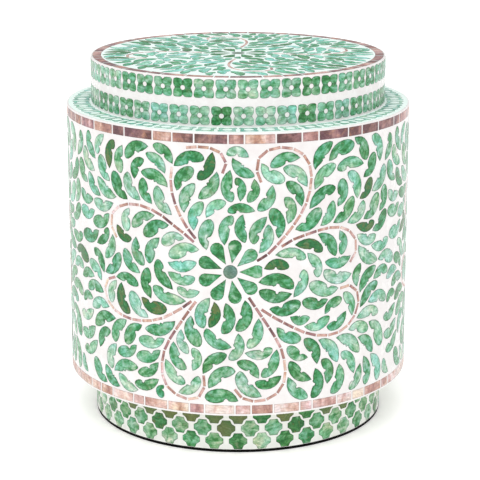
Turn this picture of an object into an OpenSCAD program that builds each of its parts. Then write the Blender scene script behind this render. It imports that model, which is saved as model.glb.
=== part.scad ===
// Drum side table: a hollow drum of board and bent plywood on a set-back plinth, with a
// shallow neck and a round top, covered all over with shell tiles set in white resin.
// Millimetres, +Z up. The origin is on the floor, in the middle of the base.
// The front of the table looks towards -Y.

/* [Overall form] */
// Diameter of the drum, over the faces of its shell tiles
drum_d = 400; // [360:1:460]
// Height of the drum, from its lower edge to the ledge
drum_h = 319; // [290:1:360]
// Width of the ledge round the neck; the plinth stands back by as much
ledge_w = 28.5; // [27:0.5:34]
// Height of the neck, from the ledge to the top
neck_h = 54; // [50:0.5:64]
// Height of the plinth, with the black cover that it stands on
plinth_h = 54; // [52:0.5:64]

/* [Boards and walls] */
// Thickness of the round boards
board_t = 15; // [12:0.5:20]
// Thickness of the bent plywood walls
wall_t = 9; // [6:0.5:12]
// Width of the ring that stiffens the drum wall at mid-height
former_w = 45; // [30:1:60]
// Number of upright battens behind the drum wall, above and below that ring
batten_count = 8; // [4:1:12]
// Width of a batten
batten_w = 40; // [24:1:50]
// Thickness of a batten
batten_t = 18; // [12:1:24]
// Thickness of the black cover under the plinth
cover_t = 2.5; // [2:0.1:4]
// How far the edge of the cover stands back from the plinth
cover_inset = 1.5; // [0.5:0.1:4]

/* [Glue blocks and screws] */
// Number of glue blocks inside the plinth, and again inside the neck
block_count = 8; // [4:1:10]
// Width of a glue block along the wall
block_w = 45; // [30:1:60]
// Depth of a glue block, inwards from the wall
block_depth = 30; // [22:1:40]
// Diameter of a screw's shank
screw_d = 4; // [3:0.5:5]
// Diameter of a countersunk screw head
screw_head_d = 8; // [7:0.5:10]
// Height of a countersunk screw head
screw_head_h = 2; // [1.6:0.1:2.4]
// How deep a screw goes into its glue block
screw_bite = 24; // [15:1:30]

/* [Shell and resin] */
// Thickness of the shell tiles, which are glued to the boards and walls
shell_t = 2; // [1.5:0.1:3]
// How far the ground tiles stand proud of the resin poured round them
shell_proud = 0.2; // [0.1:0.05:0.4]
// Flat taken off the outer edges of the resin
edge_flat = 0.8; // [0.4:0.1:1.2]
// Resin joint between neighbouring border tiles
joint_w = 1.8; // [1:0.1:3]
// Resin margin between an edge of the table and the tiles beside it
margin = 2.3; // [1.5:0.1:3]

/* [Borders] */
// Width of the border tiles round the drum and the top
border_h = 10; // [8:0.5:13]
// Number of tiles in the upper border of the drum
upper_border_count = 45; // [30:1:50]
// Number of tiles in the lower border of the drum
lower_border_count = 51; // [30:1:56]
// Number of tiles in the border round the top
top_border_count = 39; // [26:1:44]
// How much the tile lengths differ, as a share of their mean
border_vary = 0.38; // [0:0.02:0.5]

/* [Flower rows] */
// Number of four-lobed tiles in each row of the neck
neck_count = 45; // [36:1:46]
// Width of a neck tile
neck_tile_w = 21.5; // [17:0.1:22]
// Height of a neck tile
neck_tile_h = 20; // [17:0.1:21]
// Diameter of the hole in a neck tile
neck_hole_d = 5.5; // [4:0.1:7]
// Number of tiles round the ledge
ledge_count = 50; // [40:1:52]
// Width of a ledge tile round the ledge
ledge_tile_w = 20.5; // [16:0.1:21]
// Length of a ledge tile across the ledge
ledge_tile_h = 20.5; // [16:0.1:21]
// Resin between the neck and the ledge tiles
ledge_gap = 1.2; // [0.8:0.1:2]
// Diameter of the round opening in a ledge tile
ledge_hole_d = 11; // [8:0.1:11.5]

/* [Plinth rows] */
// Number of clover tiles in each row of the plinth
clover_count = 40; // [30:1:41]
// Width of a clover tile
clover_w = 20.6; // [16:0.1:21]
// Height of a clover tile
clover_h = 19; // [16:0.1:19.5]

/* [Flowers and stems] */
// Turn of the first flower from the front, to the left
motif_turn = 2.4; // [0:0.1:10]
// Number of petals on a drum flower
petal_count = 9; // [7:1:10]
// Radius at which the petals of a drum flower begin
petal_start = 9.5; // [9:0.1:11]
// Length of a petal of a drum flower
petal_l = 27; // [20:0.5:30]
// Greatest width of a petal of a drum flower
petal_w = 15; // [10:0.5:16]
// Diameter of the disc in the middle of a drum flower
disc_d = 15.5; // [10:0.5:16]
// Width of the stems
stem_w = 3.1; // [2:0.1:3.3]
// Length of the strips that make up a stem, with the joint after them
strip_pitch = 14.5; // [10:0.5:18]
// Joint between the strips of a stem
strip_joint = 1.4; // [1.2:0.1:2]

/* [Hidden] */
$fn = 180;

// Heights above the floor
drum_z = plinth_h;
ledge_z = drum_z + drum_h;
top_z = ledge_z + neck_h;
former_z = (drum_z + ledge_z) / 2;

// Radii over the faces of the shell tiles, and of the boards and walls under them
drum_r = drum_d / 2;
neck_r = drum_r - ledge_w;
drum_core_r = drum_r - shell_t;
neck_core_r = neck_r - shell_t;
resin_t = shell_t - shell_proud;
board_top_z = top_z - shell_t;
shoulder_top_z = ledge_z - shell_t;
wall_in_r = drum_core_r - wall_t;
neck_in_r = neck_core_r - wall_t;
screw_r = neck_in_r - block_depth / 2;

// Cutters run past the faces that they cut by this much
over = 1;

// Field between the two borders of the drum, and how far up it the flowers stand
field_low = drum_z + margin + border_h + joint_w;
field_high = ledge_z - margin - border_h - joint_w;
field_h = field_high - field_low;
flower_share = 0.52;
flower_z = field_low + field_h * flower_share;

// The flower and its stems go this many times round the drum, and the clover tiles stand in
// this many rows round the plinth
motif_count = 3;
clover_rows = 3;

// Share of a tile by which the upper row of the neck is turned against the lower one
upper_row_turn = 0.2;

// The flower and its stems are drawn on a sheet of this size, which is stretched to its
// share of the drum. Points are x to the right and y upwards from the middle of the flower.
sheet_w = 419;
sheet_h = 291;
stems = [
    [[29, 12], [42, 20], [54, 32], [65, 44], [74, 56], [83, 70], [88, 86], [90, 103], [87, 118],
     [78, 130], [65, 136], [52, 137], [40, 134], [31, 127], [28, 116], [30, 104], [34, 98]],
    [[56, 27], [71, 35], [88, 39], [102, 42], [118, 43], [133, 40], [145, 32], [152, 20],
     [150, 8], [141, -2]],
    [[20, -29], [29, -43], [38, -57], [48, -73], [57, -91], [61, -108], [61, -124], [56, -137],
     [46, -145], [33, -149], [19, -148], [9, -142], [4, -133]],
    [[34, -43], [48, -53], [63, -62], [80, -72], [97, -78], [117, -81], [134, -78], [148, -68],
     [156, -54], [156, -40], [148, -30], [137, -26], [127, -29]],
    [[-38, -35], [-48, -49], [-58, -64], [-68, -79], [-76, -96], [-79, -112], [-78, -127],
     [-71, -139], [-59, -146], [-46, -149], [-37, -147], [-31, -139], [-28, -129], [-30, -118]],
    [[-43, -35], [-57, -46], [-75, -57], [-92, -63], [-111, -66], [-127, -65], [-143, -61],
     [-156, -51], [-161, -39], [-157, -28], [-149, -22], [-141, -21]],
    [[-38, 36], [-48, 48], [-57, 63], [-63, 78], [-66, 92], [-66, 107], [-64, 115]],
    [[-48, 136], [-31, 138], [-16, 136], [-7, 129], [-4, 118], [-9, 108]],
    [[-40, 32], [-51, 41], [-63, 49], [-76, 58], [-90, 64], [-105, 67], [-121, 66], [-135, 61],
     [-145, 53], [-149, 42], [-145, 31], [-138, 24]]
];

// Flower and stems of the top, drawn for a top of this radius. One stem, repeated round.
sheet_r = 157;
top_petal_count = 8;
top_petal_scale = 0.92;
top_stem_count = 4;
top_stem = [[3, 42], [7, 56], [10, 72], [11, 88], [8, 104], [1, 117], [-10, 126], [-23, 129],
            [-34, 124], [-39, 113], [-36, 103]];
top_field_r = neck_r - margin - border_h - joint_w;

// A stem is cut to straight strips that follow its line.
function step_length(line, i) = norm(line[i + 1] - line[i]);
function line_length(line, i = 0) =
    i >= len(line) - 1 ? 0 : step_length(line, i) + line_length(line, i + 1);
function point_at(line, s, i = 0) =
    let (l = step_length(line, i))
    s <= l || i >= len(line) - 2
        ? line[i] + (line[i + 1] - line[i]) * s / l
        : point_at(line, s - l, i + 1);
function strip_ends(line) =
    let (whole = line_length(line), n = round(whole / strip_pitch), pitch = whole / n)
    [for (i = [0 : n - 1]) [point_at(line, i * pitch), point_at(line, (i + 1) * pitch - strip_joint)]];
function stretched(line, x_scale, y_scale) = [for (p = line) [p[0] * x_scale, p[1] * y_scale]];

// Angles at which the tiles of a border begin. Their lengths differ by a golden-angle wave.
golden_angle = 137.5;
wave_start = 40;
function tile_share(i) = 1 + border_vary * sin(i * golden_angle + wave_start);
function share_sum(i) = i < 0 ? 0 : tile_share(i) + share_sum(i - 1);
function tile_start(i, count) = 360 * share_sum(i - 1) / share_sum(count - 1);

// Half of an outline mirrored to the other side, for shapes alike left and right
function mirrored(half) =
    concat(half, [for (i = [len(half) - 1 : -1 : 0]) if (half[i][0] != 0) [-half[i][0], half[i][1]]]);

// Outline of a four-lobed tile: nearly square, with a notch in the middle of each side
function lobed(w, h) =
    let (x = w / 2, y = h / 2)
    mirrored([[0, -0.76 * y], [0.78 * x, -y], [x, -0.80 * y], [0.82 * x, 0], [x, 0.80 * y],
              [0.78 * x, y], [0, 0.76 * y]]);

// Outline of a clover tile: four lobes, to the left and right and above and below
function clover(w, h) =
    let (x = w / 2, y = h / 2)
    mirrored([[0.44 * x, -y], [0.62 * x, -0.56 * y], [x, -0.28 * y], [x, 0.28 * y],
              [0.62 * x, 0.56 * y], [0.44 * x, y]]);

// Outline of a petal along +X: a point at the flower's middle and a round end
function petal(l, w, start) =
    let (r = w / 2, centre = start + l - r)
    concat([[start, 0]], [for (a = [-105 : 30 : 105]) [centre + r * cos(a), r * sin(a)]]);

// A wall or ring, from its inner and outer radius and its two heights
module ring(r_in, r_out, z0, z1)
    translate([0, 0, z0])
        difference() {
            cylinder(r = r_out, h = z1 - z0);
            translate([0, 0, -over]) cylinder(r = r_in, h = z1 - z0 + 2 * over);
        }

// A coat of resin on a wall, with its outer edges eased at the ends that show
module wall_coat(r_core, z0, z1, ease_low, ease_high)
    rotate_extrude()
        polygon([
            [r_core, z0], [r_core + resin_t - ease_low, z0], [r_core + resin_t, z0 + ease_low],
            [r_core + resin_t, z1 - ease_high], [r_core + resin_t - ease_high, z1], [r_core, z1]
        ]);

// Puts a flat outline on a wall of core radius r_core, at an angle round the table and a
// height, as a block that runs through the coat
module on_wall(r_core, angle, z)
    rotate([0, 0, angle]) translate([r_core - over, 0, z]) rotate([90, 0, 90])
        linear_extrude(shell_t + 2 * over) children();

// Blocks of inlay ground to the face of a wall
module ground_to_wall(r_core, z0, z1)
    intersection() {
        ring(r_core, r_core + shell_t, z0, z1);
        children();
    }

// A flat outline on the ledge or the top, as a block through the coat or as a tile on it
module on_board(z, cut)
    translate([0, 0, cut ? z - over : z])
        linear_extrude(cut ? shell_t + 2 * over : shell_t) children();

// A ring of border tiles on a wall, from one radius to another
module border_ring(r_in, r_out, z0, z1, count, joint_r)
    for (i = [0 : count - 1])
        let (start = tile_start(i, count), joint = joint_w / joint_r * 180 / PI)
            rotate([0, 0, start + joint / 2])
                rotate_extrude(angle = tile_start(i + 1, count) - start - joint)
                    translate([r_in, z0]) square([r_out - r_in, z1 - z0]);

// Countersunk screws on a circle, driven upwards from z0
module screws(count, z0, length)
    for (i = [0 : count - 1])
        rotate([0, 0, (i + 0.5) * 360 / count]) translate([screw_r, 0, z0]) {
            cylinder(d1 = screw_head_d, d2 = screw_d, h = screw_head_h);
            cylinder(d = screw_d, h = length);
        }

// The same screws driven downwards from z1
module screws_down(count, z1, length)
    translate([0, 0, z1]) mirror([0, 0, 1]) screws(count, 0, length);

// Glue blocks that fit the inside of a wall
module blocks(z0, z1)
    intersection() {
        translate([0, 0, z0]) cylinder(r = neck_in_r, h = z1 - z0);
        for (i = [0 : block_count - 1])
            rotate([0, 0, (i + 0.5) * 360 / block_count])
                translate([neck_in_r - block_depth, -block_w / 2, z0 - over])
                    cube([block_depth + over, block_w, z1 - z0 + 2 * over]);
    }

// Battens that fit the inside of the drum wall
module battens(z0, z1)
    intersection() {
        translate([0, 0, z0]) cylinder(r = wall_in_r, h = z1 - z0);
        for (i = [0 : batten_count - 1])
            rotate([0, 0, i * 360 / batten_count])
                translate([wall_in_r - batten_t, -batten_w / 2, z0 - over])
                    cube([batten_t + over, batten_w, z1 - z0 + 2 * over]);
    }

// Screws of the table
module cover_screw_set() screws(block_count, 0, cover_t + screw_bite);
module floor_screw_set() screws_down(block_count, drum_z + board_t, board_t + screw_bite);
module shoulder_screw_set() screws(block_count, shoulder_top_z - board_t, board_t + screw_bite);

// Base, plinth and drum
module base_cover() color("#1c1b1a")
    difference() {
        cylinder(r = neck_r - cover_inset, h = cover_t);
        cover_screw_set();
    }

module base_screws() color("silver") cover_screw_set();

module plinth_wall() color("burlywood") ring(neck_in_r, neck_core_r, cover_t, drum_z);

module plinth_blocks() color("tan")
    difference() {
        blocks(cover_t, drum_z);
        cover_screw_set();
        floor_screw_set();
    }

module floor_screws() color("silver") floor_screw_set();

module drum_floor() color("wheat")
    difference() {
        translate([0, 0, drum_z]) cylinder(r = drum_core_r, h = board_t);
        floor_screw_set();
    }

module lower_battens() color("tan") battens(drum_z + board_t, former_z - board_t / 2);

module middle_former() color("wheat")
    ring(wall_in_r - former_w, wall_in_r, former_z - board_t / 2, former_z + board_t / 2);

module upper_battens() color("tan") battens(former_z + board_t / 2, shoulder_top_z - board_t);

module drum_wall() color("burlywood")
    ring(wall_in_r, drum_core_r, drum_z + board_t, shoulder_top_z - board_t);

module shoulder_board() color("wheat")
    difference() {
        translate([0, 0, shoulder_top_z - board_t]) cylinder(r = drum_core_r, h = board_t);
        shoulder_screw_set();
    }

module shoulder_screws() color("silver") shoulder_screw_set();

// Neck and top
module neck_blocks() color("tan")
    difference() {
        blocks(shoulder_top_z, board_top_z - board_t);
        shoulder_screw_set();
    }

module neck_wall() color("burlywood")
    ring(neck_in_r, neck_core_r, shoulder_top_z, board_top_z - board_t);

module top_board() color("wheat")
    translate([0, 0, board_top_z - board_t]) cylinder(r = neck_core_r, h = board_t);

// Clover rows of the plinth, the lowest first, each set over the gaps of the last
clover_low_z = cover_t + (margin + clover_h) / 2;
clover_high_z = plinth_h - (margin + clover_h) / 2;
function clover_z(row) = clover_low_z + (clover_high_z - clover_low_z) * row / (clover_rows - 1);

module clover_cut(row)
    for (i = [0 : clover_count - 1])
        on_wall(neck_core_r, (i + row / 2) * 360 / clover_count, clover_z(row))
            polygon(clover(clover_w, clover_h));

module clover_row(row) color("#4f9a6a")
    ground_to_wall(neck_core_r, cover_t, drum_z) clover_cut(row);

module plinth_clovers_low() clover_row(0);
module plinth_clovers_middle() clover_row(1);
module plinth_clovers_high() clover_row(2);

module plinth_resin() color("#f6efec")
    difference() {
        wall_coat(neck_core_r, cover_t, drum_z, edge_flat, 0);
        for (row = [0 : clover_rows - 1]) clover_cut(row);
    }

// Borders of the drum
lower_border_z = drum_z + margin;
upper_border_z = ledge_z - margin - border_h;

module drum_lower_border() color("#dcb3a4")
    border_ring(drum_core_r, drum_r, lower_border_z, lower_border_z + border_h,
                lower_border_count, drum_r);

module drum_upper_border() color("#b98474")
    border_ring(drum_core_r, drum_r, upper_border_z, upper_border_z + border_h,
                upper_border_count, drum_r);

// Flowers and stems of the drum
module at_motifs()
    for (m = [0 : motif_count - 1])
        rotate([0, 0, -90 - motif_turn + m * 360 / motif_count]) children();

module petal_cut()
    at_motifs() for (i = [0 : petal_count - 1])
        on_wall(drum_core_r, 0, flower_z)
            rotate(i * 360 / petal_count) polygon(petal(petal_l, petal_w, petal_start));

module disc_cut() at_motifs() on_wall(drum_core_r, 0, flower_z) circle(d = disc_d, $fn = 48);

module strip_cut(ends)
    let (middle = (ends[0] + ends[1]) / 2, along = ends[1] - ends[0])
        on_wall(drum_core_r, middle[0] / drum_r * 180 / PI, flower_z + middle[1])
            rotate(atan2(along[1], along[0])) square([norm(along), stem_w], center = true);

module stem_cut()
    at_motifs() for (line = stems)
        for (ends = strip_ends(stretched(line, drum_r * 2 * PI / motif_count / sheet_w,
                                         field_h / sheet_h)))
            strip_cut(ends);

module drum_petals() color("#2f8a4c")
    ground_to_wall(drum_core_r, field_low, field_high) petal_cut();

module drum_discs() color("#5e8f80")
    ground_to_wall(drum_core_r, field_low, field_high) disc_cut();

module drum_stems() color("#b08674")
    ground_to_wall(drum_core_r, field_low - joint_w, field_high + joint_w) stem_cut();

module drum_resin() color("#f6efec")
    difference() {
        wall_coat(drum_core_r, drum_z, ledge_z - shell_proud, edge_flat, edge_flat);
        border_ring(drum_core_r - over, drum_r + over, lower_border_z,
                    lower_border_z + border_h, lower_border_count, drum_r);
        border_ring(drum_core_r - over, drum_r + over, upper_border_z,
                    upper_border_z + border_h, upper_border_count, drum_r);
        petal_cut();
        disc_cut();
        stem_cut();
    }

// Ledge
ledge_tile_r = neck_r + ledge_gap + ledge_tile_h / 2;

module ledge_tile_set(cut)
    on_board(shoulder_top_z, cut)
        for (i = [0 : ledge_count - 1])
            rotate(i * 360 / ledge_count) translate([ledge_tile_r, 0]) rotate(-90)
                difference() {
                    polygon(lobed(ledge_tile_w, ledge_tile_h));
                    circle(d = ledge_hole_d, $fn = 24);
                }

module ledge_tiles() color("#9fd3bf") ledge_tile_set(false);

module ledge_resin() color("#f6efec")
    difference() {
        ring(neck_core_r, drum_core_r, shoulder_top_z, shoulder_top_z + resin_t);
        ledge_tile_set(true);
    }

// Neck
neck_low_z = ledge_z + margin + neck_tile_h / 2;
neck_high_z = top_z - margin - neck_tile_h / 2;

module neck_flower_cut(z, turn)
    for (i = [0 : neck_count - 1])
        on_wall(neck_core_r, (i + turn) * 360 / neck_count, z)
            difference() {
                polygon(lobed(neck_tile_w, neck_tile_h));
                circle(d = neck_hole_d, $fn = 24);
            }

module neck_lower_flowers() color("#4aa878")
    ground_to_wall(neck_core_r, ledge_z, top_z) neck_flower_cut(neck_low_z, 0);

module neck_upper_flowers() color("#3f9663")
    ground_to_wall(neck_core_r, ledge_z, top_z) neck_flower_cut(neck_high_z, upper_row_turn);

module neck_resin() color("#f6efec")
    difference() {
        wall_coat(neck_core_r, shoulder_top_z + resin_t, top_z - shell_proud, 0, edge_flat);
        neck_flower_cut(neck_low_z, 0);
        neck_flower_cut(neck_high_z, upper_row_turn);
    }

// Top
module top_petal_set(cut)
    on_board(board_top_z, cut)
        for (i = [0 : top_petal_count - 1])
            rotate((i + 0.5) * 360 / top_petal_count)
                polygon(petal(petal_l * top_petal_scale, petal_w * top_petal_scale, petal_start));

module top_disc_set(cut) on_board(board_top_z, cut) circle(d = disc_d, $fn = 48);

module top_stem_set(cut)
    on_board(board_top_z, cut)
        for (k = [0 : top_stem_count - 1])
            rotate(k * 360 / top_stem_count)
                for (ends = strip_ends(stretched(top_stem, top_field_r / sheet_r,
                                                 top_field_r / sheet_r)))
                    let (along = ends[1] - ends[0])
                        translate((ends[0] + ends[1]) / 2) rotate(atan2(along[1], along[0]))
                            square([norm(along), stem_w], center = true);

module top_border_set(z0, z1)
    border_ring(neck_r - margin - border_h, neck_r - margin, z0, z1, top_border_count, neck_r);

module top_border() color("#b98474") top_border_set(board_top_z, top_z);
module top_petals() color("#2f8a4c") top_petal_set(false);
module top_disc() color("#2c5d44") top_disc_set(false);
module top_stems() color("#b08674") top_stem_set(false);

module top_resin() color("#f6efec")
    difference() {
        translate([0, 0, board_top_z]) cylinder(r = neck_core_r, h = resin_t);
        top_border_set(board_top_z - over, top_z + over);
        top_petal_set(true);
        top_disc_set(true);
        top_stem_set(true);
    }

base_cover();
base_screws();
plinth_wall();
plinth_blocks();
floor_screws();
drum_floor();
lower_battens();
middle_former();
upper_battens();
drum_wall();
shoulder_board();
shoulder_screws();
neck_blocks();
neck_wall();
top_board();
plinth_resin();
drum_resin();
ledge_resin();
neck_resin();
top_resin();
plinth_clovers_low();
plinth_clovers_middle();
plinth_clovers_high();
drum_lower_border();
drum_upper_border();
drum_petals();
drum_discs();
drum_stems();
ledge_tiles();
neck_lower_flowers();
neck_upper_flowers();
top_border();
top_petals();
top_disc();
top_stems();
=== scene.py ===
# Looks of the drum side table: shell tiles set in white resin over a drum of board and plywood.
# The scene is in metres. Inlay is set out in millimetres, as a maker would draw it.
import math
import random

import bpy
import numpy as np
from mathutils import Matrix, Vector


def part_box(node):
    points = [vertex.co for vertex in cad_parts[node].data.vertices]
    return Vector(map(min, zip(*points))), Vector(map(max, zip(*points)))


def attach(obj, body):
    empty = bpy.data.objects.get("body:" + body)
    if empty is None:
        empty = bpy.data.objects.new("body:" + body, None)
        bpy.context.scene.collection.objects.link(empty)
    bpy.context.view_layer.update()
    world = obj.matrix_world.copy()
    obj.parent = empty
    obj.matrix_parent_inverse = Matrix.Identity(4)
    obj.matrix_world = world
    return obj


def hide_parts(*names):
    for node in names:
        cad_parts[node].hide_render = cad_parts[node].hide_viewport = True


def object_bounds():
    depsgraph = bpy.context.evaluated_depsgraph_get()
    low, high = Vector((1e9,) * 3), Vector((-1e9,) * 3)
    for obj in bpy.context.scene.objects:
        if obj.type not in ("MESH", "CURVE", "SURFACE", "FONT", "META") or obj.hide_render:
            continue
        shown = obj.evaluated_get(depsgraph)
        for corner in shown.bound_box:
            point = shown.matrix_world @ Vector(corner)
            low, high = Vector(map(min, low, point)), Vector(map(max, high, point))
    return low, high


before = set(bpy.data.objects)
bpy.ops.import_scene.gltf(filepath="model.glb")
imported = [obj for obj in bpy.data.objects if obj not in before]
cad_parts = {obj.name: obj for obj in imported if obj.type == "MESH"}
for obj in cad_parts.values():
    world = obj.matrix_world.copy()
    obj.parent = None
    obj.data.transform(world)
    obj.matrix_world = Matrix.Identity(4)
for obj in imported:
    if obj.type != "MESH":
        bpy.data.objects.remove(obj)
cad_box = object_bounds()
bpy.ops.object.select_all(action="DESELECT")

# Studio: a plain white floor that glows faintly, in a white room, with a broad soft light high over
# the table, a little in front, and a weaker one at each side. None of it is part of the table.
studio_look = bpy.context.scene.view_settings
studio_look.view_transform = "Standard"
studio_look.look = "None"

room = bpy.data.worlds.new("white_room")
room.use_nodes = True
room_light = room.node_tree.nodes["Background"]
room_light.inputs["Color"].default_value = (1.0, 1.0, 1.0, 1.0)
room_light.inputs["Strength"].default_value = 0.61
bpy.context.scene.world = room

floor_gap = 0.0003
bpy.ops.mesh.primitive_plane_add(size=24.0, location=(0, 0, -floor_gap))
studio_floor = bpy.context.active_object
studio_floor.name = "studio_floor"
floor_paint = bpy.data.materials.new("floor_paint")
floor_paint.use_nodes = True
floor_shader = floor_paint.node_tree.nodes["Principled BSDF"]
floor_shader.inputs["Base Color"].default_value = (0.95, 0.95, 0.95, 1.0)
floor_shader.inputs["Roughness"].default_value = 0.9
floor_shader.inputs["Specular IOR Level"].default_value = 0.0
floor_shader.inputs["Emission Color"].default_value = (1.0, 1.0, 1.0, 1.0)
floor_shader.inputs["Emission Strength"].default_value = 0.30
studio_floor.data.materials.append(floor_paint)

soft_lights = [
    ("overhead_light", (-0.2, -1.0, 2.66), 1.55),
    ("left_light", (-2.6, -1.2, 1.2), 0.15),
    ("right_light", (2.6, -1.2, 1.2), 0.12),
]
light_spread = math.radians(50)
for light_name, place, strength in soft_lights:
    bpy.ops.object.light_add(type="SUN", location=place)
    soft_light = bpy.context.active_object
    soft_light.name = light_name
    soft_light.rotation_euler = (-Vector(place)).to_track_quat("-Z", "Y").to_euler()
    soft_light.data.energy = strength
    soft_light.data.angle = light_spread

# Camera: at the height and distance that the photograph was taken from, looking a little down.
# The small shift keeps the table's sides nearly upright, as they are there.
camera_place = (0, -2.02, 0.746)
camera_tilt = math.radians(76.48)
bpy.ops.object.camera_add(location=camera_place, rotation=(camera_tilt, 0, 0))
camera = bpy.context.active_object
camera.data.lens = 131.3
camera.data.sensor_width = 36.0
camera.data.shift_x = 0.004
camera.data.shift_y = -0.10
camera.data.dof.use_dof = False
bpy.context.scene.camera = camera

# Base cover: a round of hardboard stained black, held under the plinth by eight zinc-plated
# screws. Its edge is the black line that the table stands on, with a lip that fills the eased
# edge of the resin above it.
mm = 0.001
drum_r = cad_box[1].x
plinth_set_back = 28.8 * mm
cover_lip = 0.8 * mm
cover_lip_r = drum_r - plinth_set_back
smooth_angle = math.radians(25)
facing = 0.9


def own_copy(node, name):
    """A merged copy of a CAD node with no tie to it, selected and active, ready to be worked on."""
    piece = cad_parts[node].copy()
    piece.data = piece.data.copy()
    piece.name = name
    piece.parent = None
    for key in list(piece.keys()):
        del piece[key]
    bpy.context.scene.collection.objects.link(piece)
    bpy.ops.object.select_all(action="DESELECT")
    piece.select_set(True)
    bpy.context.view_layer.objects.active = piece
    bpy.ops.object.mode_set(mode="EDIT")
    bpy.ops.mesh.select_mode(type="FACE")
    bpy.ops.mesh.select_all(action="SELECT")
    bpy.ops.mesh.customdata_custom_splitnormals_clear()
    bpy.ops.mesh.remove_doubles(threshold=1e-6)
    bpy.ops.mesh.dissolve_limited(angle_limit=math.radians(0.4))
    bpy.ops.mesh.select_all(action="DESELECT")
    bpy.ops.object.mode_set(mode="OBJECT")
    piece.data.materials.clear()
    return piece


def worked_surface(name, colours, scale, stretch=(1, 1, 1), rough=(0.5, 0.7), bump=0.2, metal=0.0,
                   gloss=0.5):
    """A finish whose colour, roughness and relief follow one grain, fixed to the object."""
    finish = bpy.data.materials.new(name)
    finish.use_nodes = True
    nodes = finish.node_tree.nodes
    links = finish.node_tree.links
    shader = nodes["Principled BSDF"]
    shader.inputs["Metallic"].default_value = metal
    shader.inputs["Specular IOR Level"].default_value = gloss
    place = nodes.new("ShaderNodeTexCoord")
    turn = nodes.new("ShaderNodeMapping")
    turn.inputs["Scale"].default_value = stretch
    links.new(place.outputs["Object"], turn.inputs["Vector"])
    grain = nodes.new("ShaderNodeTexNoise")
    grain.inputs["Scale"].default_value = scale
    grain.inputs["Detail"].default_value = 6.0
    grain.inputs["Roughness"].default_value = 0.6
    links.new(turn.outputs["Vector"], grain.inputs["Vector"])
    tint = nodes.new("ShaderNodeValToRGB")
    tint.color_ramp.elements[0].position = 0.3
    tint.color_ramp.elements[0].color = (*colours[0], 1.0)
    tint.color_ramp.elements[1].position = 0.7
    tint.color_ramp.elements[1].color = (*colours[1], 1.0)
    links.new(grain.outputs["Fac"], tint.inputs["Fac"])
    links.new(tint.outputs["Color"], shader.inputs["Base Color"])
    wear = nodes.new("ShaderNodeMapRange")
    wear.inputs["To Min"].default_value = rough[0]
    wear.inputs["To Max"].default_value = rough[1]
    links.new(grain.outputs["Fac"], wear.inputs["Value"])
    links.new(wear.outputs["Result"], shader.inputs["Roughness"])
    relief = nodes.new("ShaderNodeBump")
    relief.inputs["Strength"].default_value = bump
    relief.inputs["Distance"].default_value = 0.0003
    links.new(grain.outputs["Fac"], relief.inputs["Height"])
    links.new(relief.outputs["Normal"], shader.inputs["Normal"])
    return finish


def dress(finish, *names):
    """Puts a finish on CAD nodes that are shown as they are."""
    for name in names:
        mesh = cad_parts[name].data
        mesh.materials.clear()
        mesh.materials.append(finish)


black_stain = worked_surface(
    "black_stain", [(0.002, 0.002, 0.002), (0.007, 0.006, 0.006)], scale=400.0, gloss=0.05)
cover_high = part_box("base_cover")[1]
cover = own_copy("base_cover", "black_cover")
for face in cover.data.polygons:
    face.select = face.normal.z > facing
bpy.ops.object.mode_set(mode="EDIT")
bpy.ops.mesh.inset(thickness=cover_lip, depth=0.0, use_even_offset=True)
bpy.ops.object.mode_set(mode="OBJECT")
for corner in cover.data.vertices:
    reach = math.hypot(corner.co.x, corner.co.y)
    if reach > cover_high.x - cover_lip / 2:
        corner.co.x *= cover_lip_r / reach
        corner.co.y *= cover_lip_r / reach
        if corner.co.z > cover_high.z / 2:
            corner.co.z += cover_lip
bpy.ops.object.shade_smooth_by_angle(angle=smooth_angle)
cover.data.materials.append(black_stain)
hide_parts("base_cover")
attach(cover, "root")
dress(
    worked_surface(
        "zinc_plate", [(0.5, 0.5, 0.52), (0.72, 0.72, 0.74)], scale=900.0, rough=(0.25, 0.4), metal=1.0),
    "base_screws", "floor_screws", "shoulder_screws",
)

# Carcass: round fibreboards, walls of bent plywood, a ring and battens that stiffen the drum, and
# softwood glue blocks for the screws. The underside of the drum floor is painted off-white.
dress(
    worked_surface("fibreboard", [(0.42, 0.29, 0.17), (0.55, 0.41, 0.26)], scale=700.0, rough=(0.7, 0.85)),
    "middle_former", "shoulder_board", "top_board",
)
dress(
    worked_surface("off_white_paint", [(0.50, 0.43, 0.34), (0.58, 0.51, 0.42)], scale=260.0),
    "drum_floor",
)
dress(
    worked_surface(
        "plywood", [(0.46, 0.31, 0.17), (0.63, 0.46, 0.28)], scale=90.0, stretch=(1, 1, 9),
        rough=(0.6, 0.75)),
    "plinth_wall", "drum_wall", "neck_wall",
)
dress(
    worked_surface(
        "softwood", [(0.55, 0.38, 0.21), (0.72, 0.55, 0.34)], scale=120.0, stretch=(6, 6, 1),
        rough=(0.6, 0.8)),
    "plinth_blocks", "lower_battens", "upper_battens", "neck_blocks",
)

# Resin: white casting resin poured between the tiles and ground flush. It is a warm white with
# faint clouds in it, polished on the walls. On the plinth it is paler and greener: painted light
# against the shade under the drum. The top and the ledge are rubbed down duller, and the dye of
# the shell has tinged the resin there.
resin_clouds = {"scale": 55.0, "bump": 0.12}
dress(
    worked_surface(
        "white_resin", [(0.82, 0.775, 0.765), (0.905, 0.89, 0.88)], rough=(0.2, 0.34), gloss=0.3,
        **resin_clouds),
    "drum_resin", "neck_resin",
)
# Painted light: the plinth's resin is paler and greener, to lift it out of the shade of the drum.
dress(
    worked_surface(
        "brightened_plinth_resin", [(0.85, 0.86, 0.82), (0.93, 0.95, 0.91)], rough=(0.2, 0.34), gloss=0.3,
        **resin_clouds),
    "plinth_resin",
)
dress(
    worked_surface(
        "tinged_resin", [(0.83, 0.965, 0.925), (0.88, 0.98, 0.95)], rough=(0.4, 0.55), gloss=0.08,
        **resin_clouds),
    "ledge_resin", "top_resin",
)

# Clovers of the plinth: three staggered rows of green, olive and brown shell, cut to a quatrefoil,
# glued to the plinth wall and ground to its round. Half the top row is olive-brown, painted shade
# under the drum's overhang, and the rows run a little darker from the bottom up.
grain_tilt = 0.4


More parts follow.
